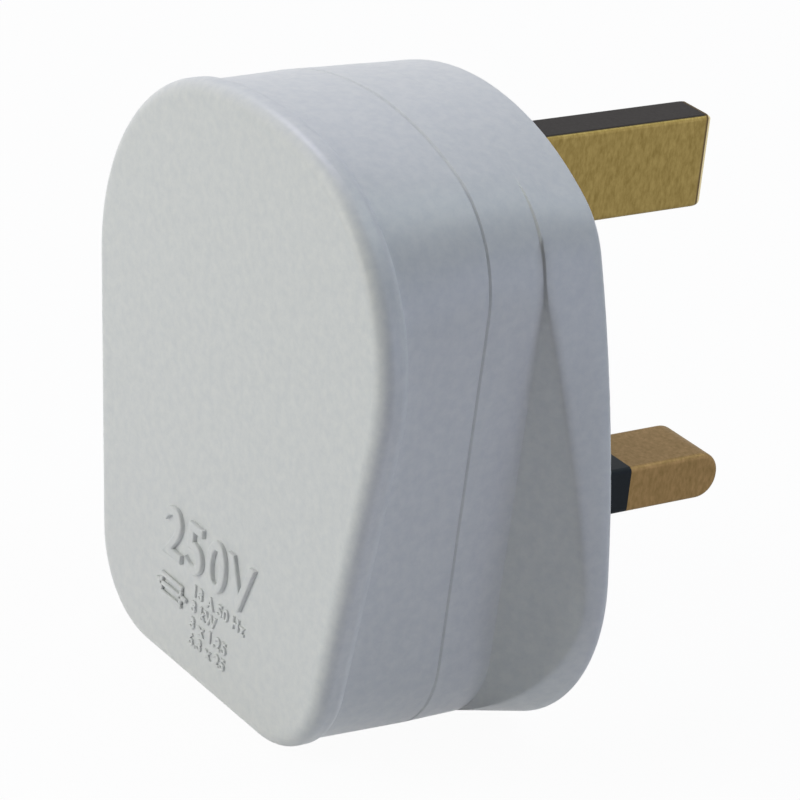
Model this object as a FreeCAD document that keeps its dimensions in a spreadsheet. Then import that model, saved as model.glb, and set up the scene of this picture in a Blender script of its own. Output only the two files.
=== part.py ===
import FreeCAD, Part
import math
import os

import Sketcher
from FreeCAD import Vector

# Fused three pin plug of the kind that is wired by hand.
# X is to the right seen from the cover, Y runs from the cover to the pin tips, Z is up.
# The origin lies on the engagement face, midway between the two live pins.
# A depth is measured from the engagement face towards the cover, so depth is minus Y.

SIZES = (
    ("live_pin_offset", 11.115, "centre line to the axis of a live pin"),
    ("live_pin_width", 6.35, "across X"),
    ("live_pin_thickness", 3.975, "across Z"),
    ("live_pin_reach", 17.7, "engagement face to the tip"),
    ("live_tip_round", 1.9, "nose of a live pin, seen from the side"),
    ("earth_pin_rise", 22.23, "live pin axis to the earth pin axis"),
    ("earth_pin_width", 8.05, "across Z"),
    ("earth_pin_thickness", 3.95, "across X"),
    ("earth_pin_reach", 22.73, "engagement face to the tip"),
    ("earth_tip_round", 1.3, "upright edges of the earth pin's tip"),
    ("earth_tip_chamfer", 0.8, "upper and lower edges of the earth pin's tip"),
    ("pin_edge_round", 0.4, "long edges of every pin"),
    ("sleeve_reach", 8.65, "engagement face to the end of the insulating sleeve"),
    ("sleeve_root", 1.5, "depth of the sleeve inside the base"),
    ("sleeve_wall", 0.6, "the pin is necked down by this under the sleeve"),
    ("slot_clearance", 0.1, "play around a pin in the base"),
    ("terminal_width", 6.6, "terminal blocks and the line pin's head, across X"),
    ("terminal_depth", 9.0, "plate to the top of the earth and neutral blocks"),
    ("neutral_block_height", 6.6, "across Z"),
    ("earth_block_height", 8.6, "across Z"),
    ("wire_hole_radius", 1.5, "hole for a conductor in a block"),
    ("wire_hole_rise", 3.2, "from the seat of a block to the middle of its wire hole"),
    ("terminal_screw_radius", 1.5, "shank of the clamping screw of a terminal"),
    ("terminal_screw_bite", 0.5, "reach of the clamping screw into the wire hole"),
    ("terminal_head_radius", 2.3, "head of the clamping screw"),
    ("terminal_head_height", 1.8, "head of the clamping screw"),
    ("driver_slot_width", 0.8, "driver slot of the small screws"),
    ("driver_slot_depth", 0.8, "driver slot of the small screws"),
    ("thread_clearance", 0.05, "play around a screw in its hole"),
    ("shell", 1.7, "side walls of cover and base"),
    ("plate", 3.4, "engagement plate of the base"),
    ("face", 1.3, "front face of the cover"),
    ("clip_side_gap", 0.37, "lower fuse clip to the lip of the cover"),
    ("top_space", 3.2, "earth block to the top wall"),
    ("foot_space", 3.35, "cord grip to the foot wall"),
    ("foot_lift", 0.05, "the wall stays this far above the underside"),
    ("body_depth", 21.6, "engagement face to the front face"),
    ("parting_depth", 10.6, "engagement face to the joint of base and cover"),
    ("joint_break", 0.16, "bevels on the outer edges of that joint"),
    ("wall_lean", 2.0, "degrees by which the wall leans in towards the foot, at the joint"),
    ("wall_front_lean", 5.0, "degrees by which the wall leans in towards the foot, at the rim"),
    ("wall_top_radius", 32.0, "arch of the wall"),
    ("wall_shoulder_radius", 10.0, "upper corners of the wall"),
    ("wall_front_shoulder_radius", 14.0, "upper corners of the wall, at the rim"),
    ("wall_corner_radius", 8.4, "lower corners of the wall"),
    ("rim_overhang", 1.4, "rim beyond the wall, level with the live pins"),
    ("rim_rise", 0.2, "rim above the wall, at the arch"),
    ("rim_lean", 9.4, "degrees by which the rim leans in towards the foot"),
    ("rim_top_radius", 37.0, "arch of the rim"),
    ("rim_shoulder_radius", 16.9, "upper corners of the rim"),
    ("rim_corner_radius", 8.4, "lower corners of the rim"),
    ("rim_front_round", 1.2, "edge of the front face"),
    ("rim_back_round", 1.0, "rear edge of the rim"),
    ("rim_band", 0.6, "straight band between the rim's two rounds"),
    ("flange_overhang", 7.4, "widest part of the flange, at the engagement face, beyond the wall"),
    ("flange_draft", 1.95, "by which the flange narrows from there to where the ramp begins"),
    ("flange_widest", 16.1, "live pin axis down to the widest part of the flange"),
    ("flange_bow", 110.5, "radius of the flange's sides at the engagement face"),
    ("flange_front_bow", 150.0, "radius of the flange's sides where the ramp begins"),
    ("flange_top_radius", 27.0, "arch of the flange"),
    ("flange_shoulder_radius", 7.5, "upper corners of the flange at the engagement face"),
    ("flange_front_shoulder_radius", 9.0, "upper corners of the flange where the ramp begins"),
    ("flange_corner_radius", 14.7, "lower corners of the flange at the engagement face"),
    ("flange_front_corner_radius", 15.6, "lower corners of the flange where the ramp begins"),
    ("flange_reveal", 0.01, "flange above the neck, at the arch"),
    ("flange_edge_round", 0.5, "rear edge of the flange"),
    ("ramp_depth", 5.6, "where the wall turns out to the flange"),
    ("ramp_slope", 30.0, "degrees between that ramp and the engagement face"),
    ("lip_height", 1.5, "lip of the cover inside the base"),
    ("lip_thickness", 0.65, "lip of the cover"),
    ("lip_clearance", 0.15, "play around the lip"),
    ("rib_thickness", 1.0, "barrier ribs beside the earth terminal"),
    ("rib_gap", 0.6, "earth block to a barrier rib"),
    ("rib_height", 6.4, "plate to the top of a barrier rib"),
    ("fuse_radius", 3.15, "end caps of the fuse"),
    ("fuse_length", 25.4, "end to end"),
    ("fuse_cap_length", 6.0, "end caps of the fuse"),
    ("fuse_cap_wall", 0.4, "sheet of the end caps"),
    ("fuse_fit", 0.02, "play between tube and caps"),
    ("fuse_bore_radius", 1.8, "bore of the ceramic tube"),
    ("fuse_wire_radius", 0.2, "element of the fuse"),
    ("pin_head", 1.5, "head of the line pin, and seat of the line terminal's strip"),
    ("pin_head_margin", 2.0, "head of the line pin above its blade"),
    ("clip_wall", 0.5, "sheet of the fuse clips"),
    ("clip_length", 5.0, "fuse clips, along the fuse"),
    ("clip_play", 0.03, "clip to fuse cap"),
    ("clip_mouth", 2.4, "half of the opening of a clip"),
    ("strip_width", 5.0, "foot of a fuse clip, across X"),
    ("line_rib_gap", 0.8, "barrier rib to the line terminal"),
    ("line_block_drop", 0.95, "top of the earth block to the top of the line terminal"),
    ("line_block_gap", 0.6, "upper end of the fuse to the line terminal"),
    ("line_block_height", 5.6, "across Z"),
    ("line_block_depth", 7.0, "strip to the top of the line terminal"),
    ("cover_screw_rise", 8.5, "live pin axis to the cover screw"),
    ("cover_screw_radius", 2.0, "shank of the cover screw"),
    ("cover_head_radius", 3.5, "head of the cover screw"),
    ("cover_head_height", 2.4, "head of the cover screw"),
    ("cover_slot_width", 1.1, "driver slot of the cover screw"),
    ("cover_slot_depth", 1.1, "driver slot of the cover screw"),
    ("head_recess", 3.0, "depth of the recess for the cover screw's head"),
    ("head_clearance", 0.3, "play around that head"),
    ("shank_clearance", 0.2, "play around the cover screw's shank in the base"),
    ("boss_wall", 2.4, "wall of the bosses around the cover screw"),
    ("boss_setback", 1.6, "joint to the top of the base's screw boss"),
    ("washer_thickness", 0.7, "washer that keeps the cover screw in the base"),
    ("washer_radius", 3.8, "washer that keeps the cover screw in the base"),
    ("washer_gap", 0.1, "washer to the cover's screw column"),
    ("insert_wall", 1.1, "threaded insert around the cover screw"),
    ("insert_length", 6.0, "threaded insert"),
    ("insert_fit", 0.03, "insert in its column"),
    ("insert_margin", 0.5, "end of the cover screw to the end of the insert"),
    ("cord_entry_radius", 4.1, "round opening for the cord"),
    ("cord_entry_length", 3.6, "underside to the inner end of the opening"),
    ("grip_gap", 1.8, "lower end of the fuse to the cord grip"),
    ("grip_screw_offset", 8.0, "centre line to a cord grip screw"),
    ("grip_height", 6.0, "cord grip bar, across Z"),
    ("grip_thickness", 2.4, "cord grip bar"),
    ("grip_tooth", 0.8, "ridges under the cord grip bar"),
    ("grip_boss_wall", 1.2, "wall of the bosses under the cord grip bar"),
    ("grip_boss_height", 8.6, "plate to the cord grip bar"),
    ("grip_screw_radius", 1.45, "shank of a cord grip screw"),
    ("grip_screw_length", 6.0, "below its head"),
    ("grip_head_radius", 2.4, "head of a cord grip screw"),
    ("grip_head_height", 1.8, "head of a cord grip screw"),
    ("grip_hole_bottom", 0.6, "floor under a cord grip screw's hole"),
)

# Numbers by which a sketch knows the points of a curve and its own axes
START, END, CENTRE = range(1, 4)
H_AXIS, V_AXIS = range(-1, -3, -1)
ORIGIN = H_AXIS
TOLERANCE = 1e-4

doc = FreeCAD.newDocument("plug")
sheet = doc.addObject("Spreadsheet::Sheet", "Sizes")


class Size:
    """A number together with the expression that binds a feature to the sheet."""

    def __init__(self, number, text=None):
        self.number = number
        self.text = repr(number) if text is None else text

    @staticmethod
    def of(other):
        return other if isinstance(other, Size) else Size(other)

    def __add__(self, other):
        other = Size.of(other)
        return Size(self.number + other.number, f"({self.text} + {other.text})")

    def __sub__(self, other):
        other = Size.of(other)
        return Size(self.number - other.number, f"({self.text} - {other.text})")

    def __mul__(self, other):
        other = Size.of(other)
        return Size(self.number * other.number, f"({self.text} * {other.text})")

    def __truediv__(self, other):
        other = Size.of(other)
        return Size(self.number / other.number, f"({self.text} / {other.text})")

    def __neg__(self):
        return Size(-self.number, f"(0 - {self.text})")


def cosine(angle):
    """Cosine of a Size in degrees."""
    return Size(math.cos(math.radians(angle.number)), f"cos({angle.text})")


def tangent(angle):
    """Tangent of a Size in degrees."""
    return Size(math.tan(math.radians(angle.number)), f"tan({angle.text})")


class Sheet:
    """The driving dimensions, one attribute for each cell of the sheet."""

    def __init__(self, rows):
        for row, (alias, number, note) in enumerate(rows, 1):
            sheet.set(f"A{row}", alias)
            sheet.set(f"B{row}", str(number))
            sheet.set(f"C{row}", note)
            sheet.setAlias(f"B{row}", alias)
            setattr(self, alias, Size(number, f"Sizes.{alias}"))


s = Sheet(SIZES)
doc.recompute()
ZERO = Size(0.0)


HALF_TURN = math.pi
QUARTER_TURN = math.pi / 2


def mirrored(point):
    """A point on the other side of a sketch's upright axis."""
    return Vector(-point.x, point.y, 0)


def arc(middle, radius, begin, finish):
    """Arc about a point, between two turns."""
    return Part.ArcOfCircle(Part.Circle(middle, Vector(0, 0, 1), radius), begin, finish)


class Edge:
    """Outline of the plug in a plane parallel to the engagement face.

    An arch on top, rounded shoulders, sides, rounded lower corners and a flat foot.
    """

    def __init__(self, top, top_radius, shoulder, half_width, corner, drop):
        self.top = top
        self.top_radius = top_radius
        self.shoulder = shoulder
        self.half_width = half_width
        self.corner = corner
        self.drop = drop

    def arch_middle(self):
        """Centre of the arch."""
        return Vector(0, self.top.number - self.top_radius.number, 0)


class StraightEdge(Edge):
    """Outline with straight sides.

    half_width is taken level with the live pins, and lean is positive where the sides widen downwards.
    """

    def __init__(self, top, top_radius, shoulder, half_width, lean, corner, drop):
        super().__init__(top, top_radius, shoulder, half_width, corner, drop)
        self.lean = lean

    def inset(self, distance):
        """The same outline moved inwards by a distance, or outwards by a negative one."""
        return StraightEdge(
            self.top - distance,
            self.top_radius - distance,
            self.shoulder - distance,
            self.half_width - distance / cosine(self.lean),
            self.lean,
            self.corner - distance,
            self.drop - distance,
        )

    def ends(self):
        """Centres of the right shoulder and lower corner, each with the side's turn there."""
        lean = math.radians(self.lean.number)
        shoulder = self.shoulder.number
        corner = self.corner.number
        up = Vector(-math.sin(lean), math.cos(lean), 0)
        out = Vector(math.cos(lean), math.sin(lean), 0)
        side = Vector(self.half_width.number, 0, 0)

        # The shoulder's centre is one shoulder radius inside the side and inside the arch
        start = side - out * shoulder
        away = start - self.arch_middle()
        lead = away.dot(up)
        rest = away.dot(away) - (self.top_radius.number - shoulder) ** 2
        shoulder_middle = start + up * (math.sqrt(lead ** 2 - rest) - lead)
        # The lower corner's centre is one corner radius inside the side and above the foot
        start = side - out * corner
        corner_middle = start + up * ((corner - self.drop.number - start.y) / up.y)
        return (shoulder_middle, lean), (corner_middle, lean)

    def sides(self, low, high):
        """Right side from its low end to its high one, and left side the other way."""
        (low_point, _), (high_point, _) = low, high
        right = Part.LineSegment(low_point, high_point)
        return right, Part.LineSegment(mirrored(high_point), mirrored(low_point))

    def hold_sides(self, sketch, right, _left):
        """Fix the sides of a sketch in place."""
        reach = self.half_width * cosine(self.lean)
        bind(sketch, Sketcher.Constraint("Distance", ORIGIN, 1, right, reach.number), reach)
        turn = self.lean + 90
        bind(sketch, Sketcher.Constraint("Angle", right, math.radians(turn.number)), turn)


class BowedEdge(Edge):
    """Outline with sides that bow outwards.

    half_width is taken where the sides are widest, at a level below the live pins.
    """

    def __init__(self, top, top_radius, shoulder, half_width, bow, widest, corner, drop):
        super().__init__(top, top_radius, shoulder, half_width, corner, drop)
        self.bow = bow
        self.widest = widest

    def side_middle(self):
        """Centre of the right side."""
        return Vector(self.half_width.number - self.bow.number, -self.widest.number, 0)

    def ends(self):
        """Centres of the right shoulder and lower corner, each with the side's turn there."""
        middle = self.side_middle()
        bow = self.bow.number
        shoulder = self.shoulder.number
        corner = self.corner.number

        # The shoulder's centre is one shoulder radius inside the side and inside the arch
        gap = self.arch_middle() - middle
        ahead = gap * (1 / gap.Length)
        rest = (bow - shoulder) ** 2 - (self.top_radius.number - shoulder) ** 2
        lead = (gap.Length + rest / gap.Length) / 2
        rise = math.sqrt((bow - shoulder) ** 2 - lead ** 2)
        shoulder_middle = middle + ahead * lead + Vector(-ahead.y, ahead.x, 0) * rise
        # The lower corner's centre is one corner radius inside the side and above the foot
        level = corner - self.drop.number - middle.y
        corner_middle = middle + Vector(math.sqrt((bow - corner) ** 2 - level ** 2), level, 0)

        def turn(end):
            return math.atan2(end.y - middle.y, end.x - middle.x)

        return (shoulder_middle, turn(shoulder_middle)), (corner_middle, turn(corner_middle))

    def sides(self, low, high):
        """Right side from its low end to its high one, and left side the other way."""
        (_, low_turn), (_, high_turn) = low, high
        middle = self.side_middle()
        bow = self.bow.number
        right = arc(middle, bow, low_turn, high_turn)
        return right, arc(mirrored(middle), bow, HALF_TURN - high_turn, HALF_TURN - low_turn)

    def hold_sides(self, sketch, right, left):
        """Fix the sides of a sketch in place."""
        sketch.addConstraint(Sketcher.Constraint("Equal", right, left))
        bind(sketch, Sketcher.Constraint("Radius", right, self.bow.number), self.bow)
        fix_point(sketch, right, CENTRE, self.half_width - self.bow, -self.widest)


# Sizes that follow from the driving ones
wall_top = s.earth_pin_rise + s.earth_block_height / 2 + s.top_space + s.shell - s.rim_rise
clip_bore = s.fuse_radius + s.clip_play
clip_radius = clip_bore + s.clip_wall
lip_depth = s.shell + s.lip_clearance + s.lip_thickness
wall_half_width = s.live_pin_offset + clip_radius + s.clip_side_gap + lip_depth
rib_offset = s.terminal_width / 2 + s.rib_gap + s.rib_thickness / 2
line_block_offset = rib_offset + s.rib_thickness / 2 + s.line_rib_gap + s.terminal_width / 2
line_block_top = s.earth_pin_rise + s.earth_block_height / 2 - s.line_block_drop
line_block_base = line_block_top - s.line_block_height
line_block_middle = line_block_base + s.line_block_height / 2
fuse_top = line_block_base - s.line_block_gap
fuse_low = fuse_top - s.fuse_length
lower_clip = fuse_low + s.fuse_cap_length / 2
upper_clip = fuse_top - s.fuse_cap_length / 2
grip_level = fuse_low - s.grip_gap - s.grip_height / 2
foot_drop = s.grip_height / 2 + s.foot_space + s.shell + s.foot_lift - grip_level
wall_drop = foot_drop - s.foot_lift
rim_depth = s.rim_front_round + s.rim_band + s.rim_back_round
ramp_run = s.ramp_depth / tangent(s.ramp_slope)
ramp_share = s.ramp_depth / s.parting_depth
neck_top_radius = s.flange_top_radius + (s.wall_top_radius - s.flange_top_radius) * ramp_share
strip_seat = s.plate + s.pin_head
clip_axis = strip_seat + s.clip_wall + clip_bore
boss_top = s.parting_depth - s.boss_setback
boss_radius = s.cover_screw_radius + s.boss_wall
column_end = boss_top + s.washer_thickness + s.washer_gap
insert_radius = s.cover_screw_radius + s.thread_clearance + s.insert_wall
grip_seat = s.plate + s.grip_boss_height
grip_hole_radius = s.grip_screw_radius + s.thread_clearance
grip_boss_radius = grip_hole_radius + s.grip_boss_wall

# Outlines of the wall near the joint, in the bevelled joint, at the rim and where the ramp begins
WALL = StraightEdge(
    wall_top,
    s.wall_top_radius,
    s.wall_shoulder_radius,
    wall_half_width,
    -s.wall_lean,
    s.wall_corner_radius,
    wall_drop,
)
JOINT = WALL.inset(s.joint_break)
WALL_FRONT = StraightEdge(
    wall_top,
    s.wall_top_radius,
    s.wall_front_shoulder_radius,
    wall_half_width,
    -s.wall_front_lean,
    s.wall_corner_radius,
    wall_drop,
)
NECK = StraightEdge(
    wall_top,
    neck_top_radius,
    s.wall_shoulder_radius,
    wall_half_width,
    -s.wall_lean,
    s.wall_corner_radius,
    wall_drop,
)
RIM = StraightEdge(
    wall_top + s.rim_rise,
    s.rim_top_radius,
    s.rim_shoulder_radius,
    wall_half_width + s.rim_overhang,
    -s.rim_lean,
    s.rim_corner_radius,
    foot_drop,
)
# Outlines of the flange at the engagement face and where the ramp begins
flange_half_width = wall_half_width + s.flange_overhang
FLANGE = BowedEdge(
    wall_top + s.flange_reveal,
    s.flange_top_radius,
    s.flange_shoulder_radius,
    flange_half_width,
    s.flange_bow,
    s.flange_widest,
    s.flange_corner_radius,
    foot_drop,
)
FLANGE_FRONT = BowedEdge(
    wall_top + s.flange_reveal,
    neck_top_radius + s.flange_reveal,
    s.flange_front_shoulder_radius,
    flange_half_width - s.flange_draft,
    s.flange_front_bow,
    s.flange_widest,
    s.flange_front_corner_radius,
    foot_drop,
)


pieces = []


def new_body(label):
    """An empty body for a piece of the plug, whose label names its file."""
    body = doc.addObject("PartDesign::Body", label)
    body.Label = label
    pieces.append(body)
    return body


def new_sketch(body, name, role, offset):
    """An empty sketch on one of the body's own origin planes, moved along that plane's normal."""
    sketch = body.newObject("Sketcher::SketchObject", name)
    support = next(item for item in body.Origin.OriginFeatures if item.Role == role)
    sketch.AttachmentSupport = [(support, "")]
    sketch.MapMode = "FlatFace"
    sketch.setExpression("AttachmentOffset.Base.z", offset.text)
    return sketch


def bind(sketch, constraint, size):
    """Add a dimension to a sketch and bind it to the sheet."""
    index = sketch.addConstraint(constraint)
    sketch.setExpression(f"Constraints[{index}]", size.text)


def fix_point(sketch, geometry, point, across, along):
    """Hold a point of a sketch at its two distances from the sketch's origin."""
    for kind, axis, size in (("DistanceX", V_AXIS, across), ("DistanceY", H_AXIS, along)):
        if size is ZERO:
            sketch.addConstraint(Sketcher.Constraint("PointOnObject", geometry, point, axis))
        else:
            bind(sketch, Sketcher.Constraint(kind, ORIGIN, 1, geometry, point, size.number), size)


def draw_polygon(sketch, corners):
    """Closed run of straight lines through corners that are all dimensioned."""
    points = [Vector(across.number, along.number, 0) for across, along in corners]
    first = sketch.GeometryCount
    count = len(points)
    for index, point in enumerate(points):
        sketch.addGeometry(Part.LineSegment(point, points[(index + 1) % count]))
    for index, (across, along) in enumerate(corners):
        after = first + (index + 1) % count
        sketch.addConstraint(Sketcher.Constraint("Coincident", first + index, END, after, START))
        fix_point(sketch, first + index, START, across, along)


def polygon(body, name, role, offset, corners):
    """Sketch of one closed polygon."""
    sketch = new_sketch(body, name, role, offset)
    draw_polygon(sketch, corners)
    return sketch


def corners_of(middle, half):
    """Four corners of a rectangle, from its middle and its half sizes."""
    (across, along), (half_across, half_along) = middle, half
    return [
        (across - half_across, along - half_along),
        (across + half_across, along - half_along),
        (across + half_across, along + half_along),
        (across - half_across, along + half_along),
    ]


def rectangle(body, name, role, offset, middle, half):
    """Sketch of one rectangle."""
    return polygon(body, name, role, offset, corners_of(middle, half))


def circle(body, name, role, offset, middle, radius):
    """Sketch of one circle."""
    sketch = new_sketch(body, name, role, offset)
    across, along = middle
    sketch.addGeometry(Part.Circle(Vector(across.number, along.number, 0), Vector(0, 0, 1), radius.number))
    fix_point(sketch, 0, CENTRE, across, along)
    bind(sketch, Sketcher.Constraint("Radius", 0, radius.number), radius)
    return sketch


def draw_edge(sketch, edge):
    """Draw an Edge as eight tangent pieces, the right half mirrored in the centre line."""
    shoulder = edge.shoulder.number
    corner = edge.corner.number
    arch_middle = edge.arch_middle()
    (shoulder_middle, high_turn), (corner_middle, low_turn) = edge.ends()
    arch_turn = math.atan2(shoulder_middle.y - arch_middle.y, shoulder_middle.x)
    foot = Vector(corner_middle.x, -edge.drop.number, 0)
    side_low = corner_middle + Vector(math.cos(low_turn), math.sin(low_turn), 0) * corner
    side_high = shoulder_middle + Vector(math.cos(high_turn), math.sin(high_turn), 0) * shoulder
    right_curve, left_curve = edge.sides((side_low, low_turn), (side_high, high_turn))

    first = sketch.GeometryCount
    curves = (
        Part.LineSegment(mirrored(foot), foot),
        arc(corner_middle, corner, -QUARTER_TURN, low_turn),
        right_curve,
        arc(shoulder_middle, shoulder, high_turn, arch_turn),
        arc(arch_middle, edge.top_radius.number, arch_turn, HALF_TURN - arch_turn),
        arc(mirrored(shoulder_middle), shoulder, HALF_TURN - arch_turn, HALF_TURN - high_turn),
        left_curve,
        arc(mirrored(corner_middle), corner, HALF_TURN - low_turn, HALF_TURN + QUARTER_TURN),
    )
    for curve in curves:
        sketch.addGeometry(curve)
    names = range(first, first + len(curves))
    foot_line, right_corner, right_side, right_shoulder, top_arc, left_shoulder, left_side, left_corner = names
    for index, name in enumerate(names):
        after = names[(index + 1) % len(curves)]
        sketch.addConstraint(Sketcher.Constraint("Tangent", name, END, after, START))
    sketch.addConstraint(Sketcher.Constraint("Horizontal", foot_line))
    sketch.addConstraint(Sketcher.Constraint("PointOnObject", top_arc, CENTRE, V_AXIS))
    sketch.addConstraint(Sketcher.Constraint("Equal", right_shoulder, left_shoulder))
    sketch.addConstraint(Sketcher.Constraint("Equal", right_corner, left_corner))
    sketch.addConstraint(Sketcher.Constraint("Symmetric", right_side, START, left_side, END, V_AXIS))
    for arc_name, size in (
        (top_arc, edge.top_radius),
        (right_shoulder, edge.shoulder),
        (right_corner, edge.corner),
    ):
        bind(sketch, Sketcher.Constraint("Radius", arc_name, size.number), size)
    level = edge.top - edge.top_radius
    bind(sketch, Sketcher.Constraint("DistanceY", ORIGIN, 1, top_arc, CENTRE, level.number), level)
    level = -edge.drop
    bind(sketch, Sketcher.Constraint("DistanceY", ORIGIN, 1, foot_line, START, level.number), level)
    edge.hold_sides(sketch, right_side, left_side)


def outline(body, name, depth, *edges):
    """Sketch of one Edge, or of the ring between two, at a depth."""
    sketch = new_sketch(body, name, "XZ_Plane", depth)
    for edge in edges:
        draw_edge(sketch, edge)
    return sketch


def pad(body, sketch, length, back=False):
    """Grow a sketch along its normal, or against it."""
    feature = body.newObject("PartDesign::Pad", f"{sketch.Name}_pad")
    feature.Profile = sketch
    feature.setExpression("Length", length.text)
    feature.Reversed = back
    sketch.Visibility = False
    return feature


def cut(body, sketch, length, along=False):
    """Cut a sketch against its normal, or along it, and make sure that it took something away."""
    doc.recompute()
    before = body.Shape.Volume
    feature = body.newObject("PartDesign::Pocket", f"{sketch.Name}_cut")
    feature.Profile = sketch
    feature.setExpression("Length", length.text)
    feature.Reversed = along
    sketch.Visibility = False
    doc.recompute()
    if not body.Shape.Volume < before - TOLERANCE:
        raise RuntimeError(f"{feature.Name} in {body.Label} cuts nothing")
    return feature


def loft(body, name, first, *others, kind="Additive"):
    """Ruled solid through two or more sketches, added or taken away."""
    feature = body.newObject(f"PartDesign::{kind}Loft", name)
    feature.Profile = first
    feature.Sections = list(others)
    feature.Ruled = True
    return feature


def revolve(body, sketch):
    """Turn a half section about the body's Z axis."""
    feature = body.newObject("PartDesign::Revolution", f"{sketch.Name}_turn")
    feature.Profile = sketch
    feature.ReferenceAxis = (sketch, ["V_Axis"])
    feature.Angle = 360
    return feature


def edge_names(feature, chosen):
    """Names of the edges of a feature whose every point passes a test."""
    doc.recompute()
    names = []
    for index, edge in enumerate(feature.Shape.Edges, 1):
        points = edge.discretize(3)
        if all(chosen(point) for point in points):
            names.append(f"Edge{index}")
    return names


def soften(body, kind, name, chosen, size):
    """Fillet or chamfer the chosen edges of the body so far."""
    doc.recompute()
    base = body.Tip
    feature = body.newObject(f"PartDesign::{kind}", name)
    feature.Base = (base, edge_names(base, chosen))
    feature.setExpression("Radius" if kind == "Fillet" else "Size", size.text)
    return feature


def near(number, size):
    """Whether a coordinate is at a size."""
    return abs(number - size.number) < TOLERANCE


def move(body, across, along, up, turn=0.0):
    """Place a body, turned about the X axis."""
    body.Placement = FreeCAD.Placement(Vector(0, 0, 0), FreeCAD.Rotation(Vector(1, 0, 0), turn))
    for axis, size in (("x", across), ("y", along), ("z", up)):
        if size is not ZERO:
            body.setExpression(f"Placement.Base.{axis}", size.text)


HEAD_TO_COVER = 90.0
HEAD_TO_PINS = -90.0


def slotted_screw(label, shank, head, slot):
    """Screw with a cylindrical slotted head, whose seat is at its origin and whose head points up Z."""
    (shank_radius, length), (head_radius, height), (slot_width, slot_depth) = shank, head, slot
    body = new_body(label)
    half_section = [
        (ZERO, -length),
        (shank_radius, -length),
        (shank_radius, ZERO),
        (head_radius, ZERO),
        (head_radius, height),
        (ZERO, height),
    ]
    revolve(body, polygon(body, f"{label}_section", "XZ_Plane", ZERO, half_section))
    slot_half = (head_radius * 2, slot_width / 2)
    slot_sketch = rectangle(body, f"{label}_slot", "XY_Plane", height, (ZERO, ZERO), slot_half)
    cut(body, slot_sketch, slot_depth)
    return body


def terminal_screw(label, across, up, seat, block_depth):
    """Clamping screw of a terminal block, with its head against the block."""
    length = block_depth - s.wire_hole_rise - s.wire_hole_radius + s.terminal_screw_bite
    body = slotted_screw(
        label,
        (s.terminal_screw_radius, length),
        (s.terminal_head_radius, s.terminal_head_height),
        (s.driver_slot_width, s.driver_slot_depth),
    )
    move(body, across, -(seat + block_depth), up, HEAD_TO_COVER)


def drill_terminal(body, name, middle, seat, block_depth, wire_role, wire_start, wire_length):
    """Screw hole and wire hole of a terminal block, which stands on its seat."""
    across, up = middle
    wire_depth = seat + s.wire_hole_rise
    hole_radius = s.terminal_screw_radius + s.thread_clearance
    screw_hole = circle(body, f"{name}_screw_hole", "XZ_Plane", seat + block_depth, middle, hole_radius)
    cut(body, screw_hole, block_depth - s.wire_hole_rise)
    wire_middle = (across, -wire_depth) if wire_role == "XY_Plane" else (-wire_depth, up)
    wire_hole = circle(body, f"{name}_wire_hole", wire_role, wire_start, wire_middle, s.wire_hole_radius)
    cut(body, wire_hole, wire_length, along=True)


def live_pin_metal(body):
    """Blade of a live pin: root in the base, neck under the sleeve, and bare tip with a round nose."""
    half_width = s.live_pin_width / 2
    half_thickness = s.live_pin_thickness / 2
    middle = (ZERO, ZERO)
    full = (half_width, half_thickness)
    necked = (half_width - s.sleeve_wall, half_thickness - s.sleeve_wall)
    tip = rectangle(body, "tip", "XZ_Plane", -s.sleeve_reach, middle, full)
    pad(body, tip, s.live_pin_reach - s.sleeve_reach, back=True)

    def nose(point):
        return near(point.y, s.live_pin_reach) and near(abs(point.z), half_thickness)

    def long_edge(point):
        return near(abs(point.x), half_width) and near(abs(point.z), half_thickness)

    soften(body, "Fillet", "nose_round", nose, s.live_tip_round)
    soften(body, "Fillet", "tip_edge_round", long_edge, s.pin_edge_round)
    neck = rectangle(body, "neck", "XZ_Plane", s.sleeve_root, middle, necked)
    pad(body, neck, s.sleeve_root + s.sleeve_reach, back=True)
    root = rectangle(body, "root", "XZ_Plane", s.plate, middle, full)
    pad(body, root, s.plate - s.sleeve_root, back=True)


def neutral_pin():
    """Neutral pin in one piece with its terminal block."""
    body = new_body("neutral_pin")
    live_pin_metal(body)
    half = (s.terminal_width / 2, s.neutral_block_height / 2)
    pad(body, rectangle(body, "block", "XZ_Plane", s.plate, (ZERO, ZERO), half), s.terminal_depth)
    bottom = -s.neutral_block_height / 2
    drill_terminal(
        body,
        "neutral",
        (ZERO, ZERO),
        s.plate,
        s.terminal_depth,
        "XY_Plane",
        bottom,
        s.neutral_block_height,
    )
    move(body, -s.live_pin_offset, ZERO, ZERO)
    terminal_screw("neutral_terminal_screw", -s.live_pin_offset, ZERO, s.plate, s.terminal_depth)


def line_pin():
    """Line pin with the flat head that carries the lower fuse clip."""
    body = new_body("line_pin")
    live_pin_metal(body)
    side = s.terminal_width / 2
    high = s.live_pin_thickness / 2 + s.pin_head_margin
    corners = [(-side, fuse_low), (side, fuse_low), (side, high), (-side, high)]
    pad(body, polygon(body, "head", "XZ_Plane", s.plate, corners), s.pin_head)
    move(body, s.live_pin_offset, ZERO, ZERO)


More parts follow.
